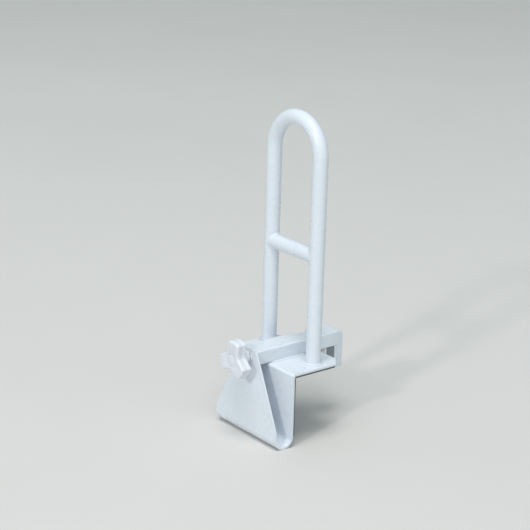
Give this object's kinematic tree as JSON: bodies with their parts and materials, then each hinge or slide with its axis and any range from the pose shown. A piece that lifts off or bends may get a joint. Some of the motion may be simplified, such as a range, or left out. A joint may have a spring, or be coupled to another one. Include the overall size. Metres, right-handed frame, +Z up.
{
  "type": "clamp-on bath grab rail",
  "caption": "Clamp-on bath grab rail: a round-tube hoop with a crossbar on a folded bracket that hooks over the bath wall, with a sliding padded jaw drawn in by a star knob and screw.",
  "frame": {"origin": "centre of the underside of the rubber rim pad, the face that rests on top of the bath wall", "axes": "+Z up along the hoop's uprights; +Y across the wall into the bath, from the knob towards the jaw; +X along the wall"},
  "size_m": [0.1472, 0.2002, 0.4747],
  "materials": {
    "white_coat": "satin white powder coat with a cool cast",
    "knob_plastic": "satin moulded white plastic",
    "zinc_steel": "bright zinc plate",
    "grey_rubber": "matt dark grey rubber",
    "pale_rubber": "matt white rubber facing",
    "nylon": "natural nylon"
  },
  "bodies": {
    "bracket": {"rail_hoop": "white_coat", "rail_crossbar": "white_coat", "weld_upright_left": "white_coat", "weld_upright_right": "white_coat", "weld_crossbar_left": "white_coat", "weld_crossbar_right": "white_coat", "folded_bracket": "white_coat", "guide_sleeve": "white_coat", "weld_sleeve_left": "white_coat", "weld_sleeve_right": "white_coat", "weld_sleeve_front": "white_coat", "rim_pad": "grey_rubber", "wall_pad": "grey_rubber"},
    "jaw": {"clamp_arm": "white_coat", "nut_block": "zinc_steel", "jaw_bracket": "white_coat", "weld_arm_jaw": "white_coat", "jaw_pad": "grey_rubber", "pad_facing": "pale_rubber", "pad_plate": "white_coat", "pad_screw_upper": "zinc_steel", "pad_screw_lower": "zinc_steel", "pad_spacer_upper": "zinc_steel", "pad_spacer_lower": "zinc_steel"},
    "knob": {"star_knob": "knob_plastic", "knob_cap": "knob_plastic", "clamp_screw": "zinc_steel", "thrust_washer": "zinc_steel", "nylon_washer": "nylon", "retaining_clip": "zinc_steel"}
  },
  "joints": [
    {"name": "jaw_slide", "type": "slide", "parent": "bracket", "child": "jaw", "axis": [0, 1, 0], "range_m": [-0.014, 0.045]},
    {"name": "knob_turn", "type": "hinge", "parent": "bracket", "child": "knob", "pos_m": [0, -0.074, 0.0176], "axis": [0, -1, 0], "range_deg": [-1680, 5400]}
  ],
  "couplings": [
    {"joint": "knob_turn", "follows": "jaw_slide", "rad_per_m": 2094.4}
  ]
}
